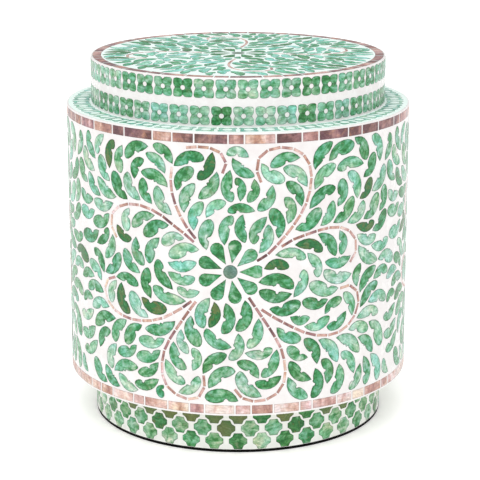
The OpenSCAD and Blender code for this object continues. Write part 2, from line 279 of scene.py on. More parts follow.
def separate_tiles(mesh):
    """The vertex numbers of each loose tile in a mesh."""
    joined_to = list(range(len(mesh.vertices)))

    def first(i):
        while joined_to[i] != i:
            joined_to[i] = joined_to[joined_to[i]]
            i = joined_to[i]
        return i

    for edge in mesh.edges:
        a, b = first(edge.vertices[0]), first(edge.vertices[1])
        joined_to[max(a, b)] = min(a, b)
    tiles = {}
    for i in range(len(joined_to)):
        tiles.setdefault(first(i), []).append(i)
    return list(tiles.values())


def touches(face, vertices):
    """Whether a face has a corner among these vertices."""
    return any(i in vertices for i in face.vertices)


def tiles_of(node, name, seed, tones, on_wall=True, rim=0.0009, arris=0.00012):
    """The tiles of a CAD node, each with a ground arris, its own tone and its own grain."""
    tiles = own_copy(node, name)
    mesh = tiles.data
    for face in mesh.polygons:
        outwards = Vector((face.center.x, face.center.y, 0)).normalized() if on_wall else Vector((0, 0, 1))
        face.select = face.normal.dot(outwards) > facing
    bpy.ops.object.mode_set(mode="EDIT")
    bpy.ops.mesh.inset(thickness=rim, depth=0.0, use_even_offset=True)
    bpy.ops.object.mode_set(mode="OBJECT")
    inside = set()
    for face in mesh.polygons:
        if face.select:
            inside.update(face.vertices)
    edge_tone = mesh.attributes.new("rim", "FLOAT", "POINT")
    tile_tone = mesh.attributes.new("tone", "FLOAT", "POINT")
    grain = mesh.uv_layers.new(name="grain")
    grain_at = {}
    chance = random.Random(seed)
    for members in separate_tiles(mesh):
        middle = sum((mesh.vertices[i].co for i in members), Vector()) / len(members)
        turn = math.atan2(middle.y, middle.x)
        along = Vector((-math.sin(turn), math.cos(turn), 0))
        up = Vector((0, 0, 1)) if on_wall else Vector((math.cos(turn), math.sin(turn), 0))
        tilt = chance.uniform(-grain_tilt, grain_tilt)
        shift = Vector((chance.uniform(-1, 1), chance.uniform(-1, 1)))
        tone = tones(chance, middle)
        for i in members:
            offset = mesh.vertices[i].co - middle
            u, v = offset.dot(along), offset.dot(up)
            grain_at[i] = (
                u * math.cos(tilt) - v * math.sin(tilt) + shift.x,
                u * math.sin(tilt) + v * math.cos(tilt) + shift.y,
            )
            tile_tone.data[i].value = tone
            edge_tone.data[i].value = 0.0 if i in inside else 1.0
    for loop in mesh.loops:
        grain.data[loop.index].uv = grain_at[loop.vertex_index]
    face_ring = {i for face in mesh.polygons for i in face.vertices if touches(face, inside)} - inside
    for i in face_ring:
        point = mesh.vertices[i].co
        if on_wall:
            reach = math.hypot(point.x, point.y)
            point.x *= 1 - arris / reach
            point.y *= 1 - arris / reach
        else:
            point.z -= arris
    bpy.ops.object.shade_smooth_by_angle(angle=smooth_angle)
    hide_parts(node)
    return tiles


def shell_finish(
        name, colours, blush, scale, spread=0.55, streaks=0.35, bands=(0.5, 2.0), rim_dark=0.3, gloss=0.3,
        yellower=(0.58, 1.38), bluer=(0.8, 1.13)):
    """Polished shell: a tone for each tile, clouds and growth lines in it, a slow change to a
    yellower or bluer shell, a blush of another colour here and there, and a darker ground rim."""
    finish = bpy.data.materials.new(name)
    finish.use_nodes = True
    nodes = finish.node_tree.nodes
    links = finish.node_tree.links
    shader = nodes["Principled BSDF"]
    shader.inputs["Specular IOR Level"].default_value = gloss
    grain_map = nodes.new("ShaderNodeUVMap")
    grain_map.uv_map = "grain"
    tone = nodes.new("ShaderNodeAttribute")
    tone.attribute_name = "tone"

    def noise(size, stretch, distortion):
        turn = nodes.new("ShaderNodeMapping")
        turn.inputs["Scale"].default_value = (*stretch, 1.0)
        links.new(grain_map.outputs["UV"], turn.inputs["Vector"])
        field = nodes.new("ShaderNodeTexNoise")
        field.inputs["Scale"].default_value = size
        field.inputs["Detail"].default_value = 4.0
        field.inputs["Roughness"].default_value = 0.6
        field.inputs["Distortion"].default_value = distortion
        links.new(turn.outputs["Vector"], field.inputs["Vector"])
        return field.outputs["Fac"]

    def ranged(value, low, high, from_low=0.3, from_high=0.7):
        span = nodes.new("ShaderNodeMapRange")
        span.inputs["From Min"].default_value = from_low
        span.inputs["From Max"].default_value = from_high
        span.inputs["To Min"].default_value = low
        span.inputs["To Max"].default_value = high
        span.clamp = False
        links.new(value, span.inputs["Value"])
        return span.outputs["Result"]

    def both(operation, first, second):
        combined = nodes.new("ShaderNodeMath")
        combined.operation = operation
        links.new(first, combined.inputs[0])
        links.new(second, combined.inputs[1])
        return combined.outputs["Value"]

    clouds = noise(scale, (1.0, 1.0), 0.8)
    lines = noise(scale, bands, 0.3)
    flecks = noise(scale * 3.2, (0.6, 1.7), 0.6)
    drift = both("ADD", ranged(clouds, -spread / 2, spread / 2), ranged(lines, -streaks / 2, streaks / 2))
    tint = nodes.new("ShaderNodeValToRGB")
    ramp = tint.color_ramp.elements
    while len(ramp) < len(colours):
        ramp.new(0.5)
    for step, colour in zip(ramp, colours):
        step.position = colour[0]
        step.color = (*colour[1:], 1.0)
    links.new(both("ADD", tone.outputs["Fac"], drift), tint.inputs["Fac"])
    leaning = nodes.new("ShaderNodeCombineXYZ")
    links.new(ranged(noise(scale * 0.25, (1.0, 1.0), 0.0), *yellower), leaning.inputs["X"])
    leaning.inputs["Y"].default_value = 1.0
    links.new(ranged(noise(scale * 0.21, (1.0, 1.0), 0.0), *bluer), leaning.inputs["Z"])
    leant = nodes.new("ShaderNodeVectorMath")
    leant.operation = "MULTIPLY"
    links.new(tint.outputs["Color"], leant.inputs[0])
    links.new(leaning.outputs["Vector"], leant.inputs[1])
    blushed = nodes.new("ShaderNodeMix")
    blushed.data_type = "RGBA"
    blushed.clamp_factor = True
    links.new(ranged(noise(scale * 0.8, (1.0, 1.3), 1.5), -0.2, 0.6, 0.5, 0.75), blushed.inputs["Factor"])
    links.new(leant.outputs["Vector"], blushed.inputs["A"])
    blushed.inputs["B"].default_value = (*blush, 1.0)
    rim = nodes.new("ShaderNodeAttribute")
    rim.attribute_name = "rim"
    rim_light = ranged(rim.outputs["Fac"], 1.0, rim_dark, 0.0, 1.0)
    shade = nodes.new("ShaderNodeVectorMath")
    shade.operation = "SCALE"
    links.new(blushed.outputs["Result"], shade.inputs[0])
    links.new(both("MULTIPLY", ranged(flecks, 0.76, 1.24), rim_light), shade.inputs["Scale"])
    links.new(shade.outputs["Vector"], shader.inputs["Base Color"])
    links.new(ranged(clouds, 0.2, 0.36), shader.inputs["Roughness"])
    relief = nodes.new("ShaderNodeBump")
    relief.inputs["Strength"].default_value = 0.15
    relief.inputs["Distance"].default_value = 0.0002
    links.new(flecks, relief.inputs["Height"])
    links.new(relief.outputs["Normal"], shader.inputs["Normal"])
    return finish


green_colours = [
    (0.00, 0.096, 0.165, 0.055), (0.08, 0.074, 0.190, 0.054), (0.13, 0.014, 0.130, 0.036),
    (0.34, 0.030, 0.200, 0.056), (0.46, 0.065, 0.290, 0.115), (0.60, 0.155, 0.410, 0.245),
    (0.80, 0.320, 0.570, 0.445), (1.00, 0.540, 0.760, 0.660),
]
green_blush = (0.24, 0.29, 0.17)
green_scale = 115.0
green_shell = shell_finish("green_shell", green_colours, green_blush, green_scale)


def dyed(colours, red, green, blue):
    """The colours of a shell with more or less red, green and blue in each."""
    return [(step, red * r, green * g, blue * b) for step, r, g, b in colours]


clover_colours = dyed(green_colours, 1.2, 1.02, 0.92)
clover_shell = shell_finish("clover_shell", clover_colours, green_blush, green_scale)
# The top row's tones below nought, olive-brown, are painted shade under the drum's overhang.
clover_shares_and_shade = {
    "low": [0.36, 0.5, 0.54, 0.58, 0.6, 0.62, 0.64, 0.66, 0.68, 0.7, 0.74, 0.78, 0.82, 0.84],
    "middle": [0.26, 0.34, 0.4, 0.46, 0.5, 0.54, 0.56, 0.58, 0.6, 0.62, 0.64, 0.66, 0.7, 0.76],
    "high": [-0.3, -0.2, -0.1, 0.34, 0.44, 0.54],
}
brown_tone = -0.3
brown_clover_x = -20 * mm
clover_reach = 12 * mm


def clover_tones(row):
    """The tones of a row of clovers; one of the middle row, at the front and at the back, is brown."""
    def tones(chance, middle):
        tone = chance.choice(clover_shares_and_shade[row])
        brown = row == "middle" and abs(middle.x - brown_clover_x) < clover_reach
        return brown_tone if brown else tone

    return tones


for number, row in enumerate(clover_shares_and_shade):
    clovers = tiles_of("plinth_clovers_" + row, "clover_tiles_" + row, 11 + number, clover_tones(row))
    clovers.data.materials.append(clover_shell)
    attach(clovers, "root")

# Borders of the drum: oblong tiles of pink and brown shell with growth bands along them, in a row
# under the ledge and a paler one above the plinth.
pink_colours = [
    (0.00, 0.150, 0.070, 0.070), (0.25, 0.300, 0.155, 0.145), (0.45, 0.440, 0.235, 0.195),
    (0.65, 0.600, 0.370, 0.300), (0.85, 0.740, 0.530, 0.460), (1.00, 0.840, 0.700, 0.620),
]
pink_blush = (0.52, 0.26, 0.13)
pink_ways = {
    "spread": 0.2, "streaks": 0.75, "bands": (1.0, 0.45), "rim_dark": 0.6,
    "yellower": (0.94, 1.06), "bluer": (0.84, 1.24),
}
pink_scale = 90.0
pink_shell = shell_finish("pink_shell", pink_colours, pink_blush, pink_scale, **pink_ways)


def upper_border_tones(chance, middle):
    return chance.choice([0.04, 0.12, 0.22, 0.34, 0.46, 0.6])


def lower_border_tones(chance, middle):
    return chance.uniform(0.6, 0.95)


border_tiles = [
    tiles_of("drum_upper_border", "upper_border_tiles", 21, upper_border_tones),
    tiles_of("drum_lower_border", "lower_border_tiles", 22, lower_border_tones),
]
for border in border_tiles:
    border.data.materials.append(pink_shell)
    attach(border, "root")

# Flowers of the drum: nine green petals round a grey-green disc, three times round the table. The
# petals at the lower right of a flower are a lighter teal than the others.
flower_low, flower_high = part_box("drum_discs")
flower_z = (flower_low.z + flower_high.z) / 2
motif_count = 3
motif_turn = 2.4
motif_w = 2 * math.pi * drum_r / mm / motif_count


def drum_sheet(point):
    """Where a point of the drum lies on the sheet that is wrapped round it, from the front flower."""
    angle = math.atan2(point.y, point.x) + math.radians(90 + motif_turn)
    return drum_r * math.remainder(angle, 2 * math.pi) / mm, (point.z - flower_z) / mm


def petal_tones(chance, middle):
    across, up = drum_sheet(middle)
    turn = math.degrees(math.atan2(up, math.remainder(across, motif_w)))
    teal = -100 < turn < 50
    return chance.uniform(0.48, 0.58) if teal else chance.uniform(0.34, 0.44)


petals = tiles_of("drum_petals", "petal_tiles", 31, petal_tones)
petals.data.materials.append(green_shell)
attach(petals, "root")

grey_colours = [(0.00, 0.050, 0.120, 0.085), (0.50, 0.115, 0.220, 0.175), (1.00, 0.270, 0.390, 0.340)]
grey_scale = 200.0
grey_shell = shell_finish("grey_shell", grey_colours, green_blush, grey_scale)


def disc_tones(chance, middle):
    return 0.5


discs = tiles_of("drum_discs", "disc_tiles", 32, disc_tones)
discs.data.materials.append(grey_shell)
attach(discs, "root")

# Stems of the drum: short strips of pink shell laid end to end in curls, darker near the flower and
# nearly cream at the curled ends.
strip_rim = 0.0003
stem_start_tone = 0.12
stem_tone_per_mm = 0.0036


def stem_tones(chance, middle):
    across, up = drum_sheet(middle)
    from_flower = math.hypot(math.remainder(across, motif_w), up)
    return stem_start_tone + stem_tone_per_mm * from_flower + chance.uniform(-0.2, 0.2)


stems = tiles_of("drum_stems", "stem_strips", 33, stem_tones, rim=strip_rim)
stems.data.materials.append(pink_shell)
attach(stems, "root")

# Leaves of the drum: some 180 half-moon leaves to a flower, each with a bite out of its straighter
# side, cut from green shell and bedded in the resin between the stems, so that they lean along them.

# Each leaf as x and y of its sharp tip, x and y of its round end, in millimetres from the flower's
# middle, and the side of the bite: 1 on the left and -1 on the right of the way to the tip
leaf_rows = {
    "round the flower": [
        (-33, 26, -65, 18, -1), (-68, 9, -38, 12, -1), (-69, -1, -37, -8, -1), (-32, -21, -61, -20, 1),
        (-24, 28, -21, 59, 1), (-7, 33, 1, 61, 1), (13, 62, 16, 32, -1), (37, 57, 25, 31, -1),
        (33, 20, 42, 50, -1), (52, 34, 46, 65, -1), (48, 19, 83, 12, 1), (38, 7, 62, 8, 1),
        (34, -11, 68, -16, 1), (64, -30, 31, -26, 1), (43, -43, 75, -40, -1), (18, -31, 12, -62, 1),
        (-3, -36, -4, -69, 1), (-14, -34, -20, -63, 1), (-22, -29, -31, -60, -1),
    ],
    "above the flower": [
        (-18, 108, -37, 81, 1), (-2, 114, 0, 84, -1), (10, 82, 5, 108, -1), (28, 106, 22, 81, 1),
        (-21, 63, -3, 79, 1), (28, 67, -4, 66, -1), (46, 90, 33, 66, 1), (35, 124, 59, 103, -1),
        (2, 127, 24, 109, -1), (19, 130, -3, 135, -1), (-43, 48, -35, 76, 1), (-52, 68, -41, 96, 1),
        (-61, 91, -46, 114, 1), (-59, 117, -28, 128, 1), (-18, 134, -33, 107, 1),
        (78, 126, 48, 119, -1), (86, 95, 63, 115, -1), (80, 70, 64, 97, -1), (64, 50, 63, 78, -1),
    ],
    "upper left": [
        (-97, 133, -124, 121, -1), (-66, 118, -88, 137, -1), (-75, 104, -97, 122, -1),
        (-72, 90, -101, 101, -1), (-110, 97, -101, 118, 1), (-149, 104, -142, 132, 1),
        (-131, 126, -134, 99, -1), (-178, 111, -190, 137, 1), (-160, 139, -171, 118, -1),
        (-178, 92, -198, 112, 1), (-151, 87, -166, 110, 1), (-171, 69, -192, 89, 1),
        (-140, 70, -167, 86, 1), (-125, 71, -144, 95, 1), (-107, 73, -124, 97, 1), (-92, 71, -103, 95, 1),
        (-67, 62, -83, 88, 1),
    ],
    "left": [
        (-120, 64, -125, 38, -1), (-89, 59, -117, 44, -1), (-69, 51, -97, 39, -1), (-54, 36, -77, 30, -1),
        (-141, 40, -121, 25, -1), (-111, 31, -103, 4, -1), (-80, 34, -92, 8, -1), (-184, 58, -209, 62, 1),
        (-149, 62, -181, 59, 1), (-179, 48, -207, 44, 1), (-156, 50, -182, 36, 1), (-171, 30, -201, 20, 1),
        (-174, 15, -154, 36, -1), (-149, 26, -161, 1, 1), (-163, -22, -181, 0, -1), (-106, -9, -125, 12, 1),
        (-158, -19, -136, 4, -1), (-171, -31, -195, -12, -1), (-182, -28, -207, -33, -1),
        (-168, -43, -198, -43, -1), (-186, -52, -207, -56, -1), (-159, -57, -188, -62, -1),
        (-144, -24, -153, -51, -1), (-145, -22, -111, -26, 1), (-133, -32, -125, -62, -1),
        (-95, -61, -116, -39, 1), (-91, -35, -95, -5, 1), (-66, -22, -81, 6, 1), (-50, -38, -84, -26, 1),
        (-103, -37, -76, -47, -1),
    ],
    "lower left": [
        (-186, -71, -213, -79, 1), (-146, -69, -179, -82, -1), (-171, -104, -156, -82, 1),
        (-129, -68, -147, -92, -1), (-103, -70, -124, -92, -1), (-64, -62, -97, -73, 1),
        (-71, -79, -105, -86, 1), (-79, -95, -110, -108, 1), (-110, -95, -138, -109, 1),
        (-83, -112, -110, -129, 1), (-145, -130, -113, -121, 1), (-178, -106, -205, -120, 1),
        (-187, -89, -214, -101, 1), (-144, -99, -153, -125, -1), (-137, -147, -157, -129, 1),
        (-159, -148, -180, -128, 1), (-110, -148, -135, -135, 1), (-83, -133, -112, -141, 1),
        (-76, -138, -80, -152, -1), (-203, -147, -213, -130, 1),
    ],
    "below the flower": [
        (-44, -51, -37, -81, -1), (-57, -69, -49, -99, -1), (-67, -85, -55, -116, -1),
        (-76, -108, -55, -131, -1), (-2, -84, -30, -67, 1), (-42, -115, -40, -90, -1),
        (-28, -119, -4, -97, 1), (-24, -133, 0, -113, 1), (-61, -140, -36, -121, -1),
        (6, -147, -25.5, -143, -1), (35, -143, 12, -119, 1), (30, -121, 10, -104, -1), (9, -73, 2, -102, 1),
        (33, -52, 22, -81, 1), (20, -96, 47, -92, -1), (54, -90, 38, -118, 1), (60, -118, 30, -127, 1),
        (51, -61, 79, -79, -1),
    ],
    "lower right": [
        (66, -56, 86, -58, -1), (84, -70, 116, -63, -1), (134, -58, 108, -75, 1), (105, -53, 130, -35, 1),
        (147, -67, 135, -38, -1), (109, -36, 77, -36, 1), (161, -57, 189, -37, 1), (176, -56, 207, -58, 1),
        (154, -69, 189, -71, 1), (142, -80, 175, -85, 1), (176, -80, 198, -108, 1), (157, -93, 179, -114, 1),
        (127, -86, 156, -107, 1), (104, -84, 125, -110, 1), (101, -107, 88, -80, -1),
        (112, -131, 108, -105, -1), (148, -129, 131, -105, -1), (97, -121, 96, -151, 1),
        (128, -119, 121, -148, 1), (157, -128, 142, -151, 1), (166, -120, 168, -150, 1),
        (180, -118, 195, -150, 1), (87, -98, 62, -84, 1), (91, -124, 66, -102, 1), (65, -123, 87, -149, -1),
    ],
    "right": [
        (88, 13, 99, -12, 1), (72, -31, 82, -4, -1), (141, 5, 108, 4, 1), (142, -15, 107, -9, 1),
        (127, -26, 92, -18, 1), (155, -30, 160, -8, 1), (160, -39, 184, -18, 1), (183, -31, 209, -26, 1),
        (156, 10, 185, -9, -1), (191, -4, 223, -9, 1), (181, 11, 211, 13, -1), (154, 27, 186, 18, -1),
        (129, 39, 132, 12, 1), (99, 39, 118, 15, 1), (72, 31, 102, 21, 1), (149, 40, 178, 39, -1),
        (179, 26, 206, 44, -1),
    ],
    "upper right": [
        (93, 110, 112, 134, 1), (116, 120, 145, 134, 1), (149, 135, 167, 112, 1), (187, 112, 176, 140, -1),
        (97, 91, 119, 113, 1), (157, 109, 124, 107, -1), (160, 91, 177, 113, -1), (91, 70, 119, 87, 1),
        (121, 66, 127, 92, -1), (150, 70, 140, 98, -1), (157, 67, 178, 89, -1), (178, 72, 201, 95, -1),
        (72, 44, 99, 61, -1), (99, 47, 112, 70, -1), (120, 50, 144, 72, -1), (140, 45, 163, 62, -1),
        (167, 46, 190, 68, -1), (194, 48, 203, 73, -1), (205, 105, 213, 131, -1), (223, 80, 207, 101, 1),
    ],
}
# Outlines of a leaf of length 1, its tip at the right and its bite above
leaf_outlines = [
    [(0.50, 0.00), (0.40, 0.03), (0.28, 0.05), (0.16, 0.055), (0.09, 0.03), (0.06, -0.03),
     (0.01, -0.02), (-0.01, 0.04), (-0.07, 0.075), (-0.18, 0.10), (-0.30, 0.105), (-0.41, 0.085),
     (-0.48, 0.05), (-0.50, 0.00), (-0.475, -0.075), (-0.42, -0.15), (-0.32, -0.225), (-0.18, -0.285),
     (-0.02, -0.31), (0.14, -0.29), (0.29, -0.225), (0.41, -0.12)],
    [(0.50, 0.01), (0.38, 0.05), (0.24, 0.07), (0.12, 0.06), (0.07, 0.08), (0.02, 0.05),
     (-0.01, -0.01), (-0.07, 0.00), (-0.10, 0.06), (-0.17, 0.09), (-0.28, 0.12), (-0.40, 0.13),
     (-0.485, 0.10), (-0.50, 0.02), (-0.48, -0.07), (-0.42, -0.16), (-0.31, -0.235), (-0.17, -0.29),
     (0.00, -0.31), (0.16, -0.285), (0.31, -0.215), (0.43, -0.105)],
    [(0.50, 0.02), (0.37, 0.03), (0.25, 0.055), (0.14, 0.06), (0.095, 0.02), (0.065, 0.055),
     (0.025, 0.065), (-0.01, 0.01), (-0.05, 0.04), (-0.14, 0.07), (-0.26, 0.075), (-0.38, 0.055),
     (-0.47, 0.02), (-0.50, -0.02), (-0.46, -0.10), (-0.37, -0.185), (-0.24, -0.265), (-0.09, -0.31),
     (0.07, -0.31), (0.22, -0.265), (0.35, -0.185), (0.445, -0.09)],
    [(0.50, -0.02), (0.42, 0.02), (0.31, 0.035), (0.22, 0.03), (0.17, -0.02), (0.12, -0.04),
     (0.08, 0.01), (0.06, 0.06), (0.00, 0.095), (-0.10, 0.13), (-0.22, 0.15), (-0.34, 0.14),
     (-0.44, 0.10), (-0.50, 0.03), (-0.495, -0.06), (-0.44, -0.15), (-0.34, -0.23), (-0.19, -0.295),
     (-0.02, -0.325), (0.14, -0.31), (0.29, -0.25), (0.41, -0.15)],
    [(0.50, 0.03), (0.40, 0.06), (0.28, 0.08), (0.15, 0.08), (0.03, 0.06), (-0.05, 0.055),
     (-0.09, 0.01), (-0.13, -0.02), (-0.17, 0.00), (-0.18, 0.06), (-0.24, 0.095), (-0.33, 0.10),
     (-0.42, 0.08), (-0.485, 0.04), (-0.50, -0.02), (-0.46, -0.11), (-0.37, -0.19), (-0.23, -0.255),
     (-0.07, -0.285), (0.10, -0.27), (0.26, -0.205), (0.40, -0.10)],
]
leaf_depth = 1.0 * mm
leaf_rim = 0.035
leaf_cuts = (-0.25, 0.0, 0.25)


def leaf_blank(number, outline):
    """A flat leaf of length 1 with a marked rim, cut across so that it can be bent to a wall."""
    bpy.ops.object.select_all(action="DESELECT")
    bpy.ops.mesh.primitive_circle_add(vertices=len(outline), radius=0.5, fill_type="NGON")
    blank = bpy.context.active_object
    blank.name = "leaf_blank_%d" % number
    for corner, (x, y) in zip(blank.data.vertices, outline):
        corner.co = (x, y, 0)
    bpy.ops.object.mode_set(mode="EDIT")
    bpy.ops.mesh.select_all(action="SELECT")
    bpy.ops.mesh.extrude_region_move(TRANSFORM_OT_translate={"value": (0, 0, leaf_depth)})
    bpy.ops.mesh.inset(thickness=leaf_rim, depth=0.0, use_even_offset=True)
    for cut in leaf_cuts:
        bpy.ops.mesh.select_all(action="SELECT")
        bpy.ops.mesh.bisect(plane_co=(cut, 0, 0), plane_no=(1, 0, 0))
    bpy.ops.mesh.select_all(action="SELECT")
    bpy.ops.mesh.normals_make_consistent(inside=False)
    bpy.ops.object.mode_set(mode="OBJECT")
    return blank


def sides_of(outline):
    """Each point of an outline with the point after it."""
    return zip(outline, outline[1:] + outline[:1])


def nearest_edge(x, y, outline):
    """How far a point lies from the outline, as a share of the leaf's length."""
    best = 1.0
    for (ax, ay), (bx, by) in sides_of(outline):
        span = (bx - ax) ** 2 + (by - ay) ** 2
        t = max(0.0, min(1.0, ((x - ax) * (bx - ax) + (y - ay) * (by - ay)) / span))
        best = min(best, math.hypot(ax + t * (bx - ax) - x, ay + t * (by - ay) - y))
    return best


leaf_blanks = [leaf_blank(number, outline) for number, outline in enumerate(leaf_outlines)]
for blank, outline in zip(leaf_blanks, leaf_outlines):
    rim = blank.data.attributes.new("rim", "FLOAT", "POINT")
    for corner in blank.data.vertices:
        on_edge = nearest_edge(corner.co.x, corner.co.y, outline) < leaf_rim / 2
        rim.data[corner.index].value = 1.0 if on_edge else 0.0


def leaf_tone(chance):
    """Most leaves are mint or mid green, and a few are dark, olive or brownish."""
    shares = {(0.68, 0.80): 36, (0.52, 0.64): 38, (0.42, 0.50): 21, (0.08, 0.14): 5}
    return chance.uniform(*chance.choices(list(shares), list(shares.values()))[0])


def leaf_width(length):
    """The scale across a leaf of this length; short leaves are broader for their length."""
    return 0.6 * length + 13.5


def leaf_place(tip, end, bite):
    """The move from a blank to its place on the sheet, in millimetres."""
    length = math.hypot(tip[0] - end[0], tip[1] - end[1])
    turn = math.atan2(tip[1] - end[1], tip[0] - end[0])
    middle = ((tip[0] + end[0]) / 2, (tip[1] + end[1]) / 2, 0)
    return (Matrix.Translation(middle) @ Matrix.Rotation(turn, 4, "Z")
            @ Matrix.Diagonal((length, bite * leaf_width(length), 1.0, 1.0)))


leaf_spine = [(0.32, -0.08), (0.12, -0.14), (-0.1, -0.14), (-0.3, -0.08)]


def leaf_points(tip, end, bite, number):
    """The leaf's middle, and the points of its outline and of its spine about that middle."""
    place = leaf_place(tip, end, bite)
    outline = leaf_outlines[number]
    halfway = [((ax + bx) / 2, (ay + by) / 2) for (ax, ay), (bx, by) in sides_of(outline)]
    flat = [place @ Vector((x, y, 0)) for x, y in outline + halfway + leaf_spine]
    middle = np.array([place.translation.x, place.translation.y])
    return middle, np.array([(p.x, p.y) for p in flat]) - middle


# The leaves are moved apart in the first rounds, grow for some more, and only shrink in the last
moving_rounds = 26
growing_rounds = 34
rounds = 40
leaf_reach = 45.0
tile_reach = 32.0
first_size = 0.85
growth = 1.02
shrinkage = 0.985
moving_joint = 0.8
growing_joint = 0.3
longest_step = 0.5
longest_move = 4.0
touching = 0.01
tiny = 0.001


def settled(places, obstacles, wrap, joint, most):
    """Leaves moved apart a little, and the size of each, for an even joint to what lies round it."""
    drawn = [leaf_points(*place) for place in places]
    middles = np.array([middle for middle, _ in drawn])
    near_leaves = []
    near_fixed = []
    for i, middle in enumerate(middles):
        near = []
        for shift in ((0.0,) if wrap is None else (-wrap, 0.0, wrap)):
            apart = np.hypot(middles[:, 0] + shift - middle[0], middles[:, 1] - middle[1])
            near += [(j, shift) for j in np.flatnonzero(apart < leaf_reach) if (j, shift) != (i, 0.0)]
        near_leaves.append(near)
        near_fixed.append(obstacles[np.hypot(*(obstacles - middle).T) < tile_reach])
    sizes = np.full(len(places), first_size)
    drift = np.zeros((len(places), 2))
    for turn in range(rounds):
        for i, (middle, shape) in enumerate(drawn):
            around = [
                middles[j] + drift[j] + (shift, 0.0) + sizes[j] * drawn[j][1]
                for j, shift in near_leaves[i]
            ]
            around = np.vstack(around + [near_fixed[i]])
            own = middle + drift[i] + sizes[i] * shape
            way = own[:, None, :] - around[None, :, :]
            gaps = np.sqrt((way ** 2).sum(axis=2))
            if turn < moving_rounds:
                short = np.clip(joint + moving_joint - gaps, 0.0, None)
                push = (way * (short / np.maximum(gaps, touching))[:, :, None]).sum(axis=(0, 1))
                drift[i] += push * min(1.0, longest_step / max(np.hypot(*push), tiny))
                drift[i] *= min(1.0, longest_move / max(np.hypot(*drift[i]), tiny))
            if gaps.min() < joint:
                sizes[i] *= shrinkage
            elif gaps.min() > joint + growing_joint and turn < growing_rounds:
                sizes[i] = min(most, sizes[i] * growth)
    moved = [
        ((tip[0] + x, tip[1] + y), (end[0] + x, end[1] + y), bite, number)
        for (tip, end, bite, number), (x, y) in zip(places, drift)
    ]
    return moved, sizes


def laid(chance, blank, place, tone, grain_scale):
    """A copy of a blank moved flat to its place, in millimetres, with its own grain and tone."""
    piece = blank.copy()
    piece.data = blank.data.copy()
    bpy.context.scene.collection.objects.link(piece)
    mesh = piece.data
    grain = mesh.uv_layers.new(name="grain")
    shift = (chance.uniform(-1, 1), chance.uniform(-1, 1))
    for loop in mesh.loops:
        x, y, _ = mesh.vertices[loop.vertex_index].co
        grain.data[loop.index].uv = (x * grain_scale + shift[0], y * grain_scale + shift[1])
    tones = mesh.attributes.new("tone", "FLOAT", "POINT")
    tones.data.foreach_set("value", [tone] * len(mesh.vertices))
    mesh.transform(place)
    return piece


def laid_leaf(chance, tip, end, bite, number, size, darker=0.0):
    """A leaf of its own size and tone, laid flat in its place, in millimetres."""
    length = size * math.hypot(tip[0] - end[0], tip[1] - end[1])
    place = leaf_place(tip, end, bite) @ Matrix.Diagonal((size, size, 1.0, 1.0))
    return laid(chance, leaf_blanks[number], place, leaf_tone(chance) - darker, length * mm)


def wrapped(piece, radius, depth, front, height):
    """Bends a flat piece, laid out in millimetres, round a wall with its face at a radius."""
    for corner in piece.data.vertices:
        angle = front + corner.co.x * mm / radius
        reach = radius - depth + corner.co.z
        corner.co = (reach * math.cos(angle), reach * math.sin(angle), height + corner.co.y * mm)
    return piece


point_step = 2 * mm


def edge_points(tiles, on_face, flat):
    """Points along the edges of tiles that lie in the face, in flat millimetres."""
    mesh = tiles.data
    points = []
    for edge in mesh.edges:
        a, b = (mesh.vertices[i].co for i in edge.vertices)
        if not (on_face(a) and on_face(b)):
            continue
        steps = max(1, round((b - a).length / point_step))
        points += [flat(a.lerp(b, step / steps)) for step in range(steps)]
    return points


def joined(pieces, name):
    """One piece from many, merged nowhere, with its faces outwards."""
    bpy.ops.object.select_all(action="DESELECT")
    for piece in pieces:
        piece.select_set(True)
    bpy.context.view_layer.objects.active = pieces[0]
    bpy.ops.object.join()
    whole = bpy.context.active_object
    whole.name = name
    whole.data.name = name
    bpy.ops.object.mode_set(mode="EDIT")
    bpy.ops.mesh.select_all(action="SELECT")
    bpy.ops.mesh.normals_make_consistent(inside=False)
    bpy.ops.object.mode_set(mode="OBJECT")
    bpy.ops.object.shade_smooth_by_angle(angle=smooth_angle)
    return whole


face_band = 0.3 * mm


def on_drum_face(point):
    return math.hypot(point.x, point.y) > drum_r - face_band


leaf_chance = random.Random(41)
leaf_list = [leaf for row in leaf_rows.values() for leaf in row]
leaf_places = [
    ((tip_x, tip_y), (end_x, end_y), bite, leaf_chance.randrange(len(leaf_outlines)))
    for tip_x, tip_y, end_x, end_y, bite in leaf_list
]
drum_obstacles = np.array([
    point for tiles in (stems, petals, *border_tiles)
    for point in edge_points(tiles, on_drum_face, drum_sheet)
])
leaf_places, leaf_sizes = settled(leaf_places, drum_obstacles, motif_w, joint=1.6, most=1.18)
leaves = []
for motif in range(motif_count):
    front = math.radians(-90 - motif_turn + motif * 360 / motif_count)
    for place, size in zip(leaf_places, leaf_sizes):
        leaf = laid_leaf(leaf_chance, *place, size)
        leaves.append(wrapped(leaf, drum_r, leaf_depth, front, flower_z))
drum_leaf_count = len(leaves)
drum_leaves = joined(leaves, "drum_leaves")
drum_leaves.data.materials.append(green_shell)
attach(drum_leaves, "root")

# Ledge tiles: a ring of pale open tiles, four-lobed and drilled through the middle, laid flat on
# the shoulder board and rubbed down dull with the resin round them.
mint_colours = [
    (0.00, 0.060, 0.250, 0.190), (0.40, 0.190, 0.480, 0.380), (0.75, 0.380, 0.670, 0.560),
    (1.00, 0.580, 0.800, 0.710),
]
mint_blush = (0.30, 0.55, 0.50)
mint_scale = 200.0
dull = 0.08
mint_shell = shell_finish("mint_shell", mint_colours, mint_blush, mint_scale, gloss=dull)


def ledge_tones(chance, middle):
    return chance.uniform(0.3, 0.8)


ledge = tiles_of("ledge_tiles", "ledge_ring_tiles", 51, ledge_tones, on_wall=False)
ledge.data.materials.append(mint_shell)
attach(ledge, "root")
